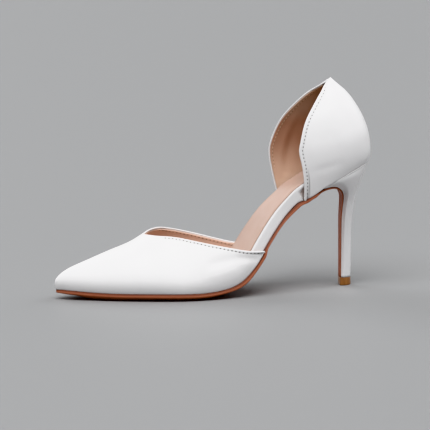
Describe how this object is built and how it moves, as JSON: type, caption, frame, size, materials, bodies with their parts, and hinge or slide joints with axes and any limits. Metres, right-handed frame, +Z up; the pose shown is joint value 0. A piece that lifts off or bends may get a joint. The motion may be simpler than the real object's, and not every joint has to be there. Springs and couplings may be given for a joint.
{
  "type": "two-piece pointed-toe stiletto pump",
  "caption": "White leather court pump with a pointed toe, a V throat, a separate pointed heel counter, an open waist and a slim stiletto heel; stands empty on its sole.",
  "frame": {"origin": "the middle of the footprint, on the floor the shoe stands on", "axes": "+Z is up, the toe points to -X, the back of the heel is at +X, the lateral side of this left shoe is -Y and the medial side is +Y"},
  "size_m": [0.2301, 0.0745, 0.1496],
  "materials": {
    "vamp_leather": "smooth satin white leather with a nude lining",
    "counter_leather": "smooth satin white leather with a nude lining",
    "sock_leather": "soft matt nude pink",
    "board_wrap": "smooth satin white leather",
    "sole_leather": "satin tan",
    "heel_wrap": "smooth satin white leather",
    "heel_tip_plastic": "hard amber"
  },
  "bodies": {
    "root": {"vamp": "vamp_leather", "counter": "counter_leather", "insole": "sock_leather", "insole_board": "board_wrap", "outsole": "sole_leather", "heel": "heel_wrap", "top_piece": "heel_tip_plastic"}
  },
  "joints": []
}
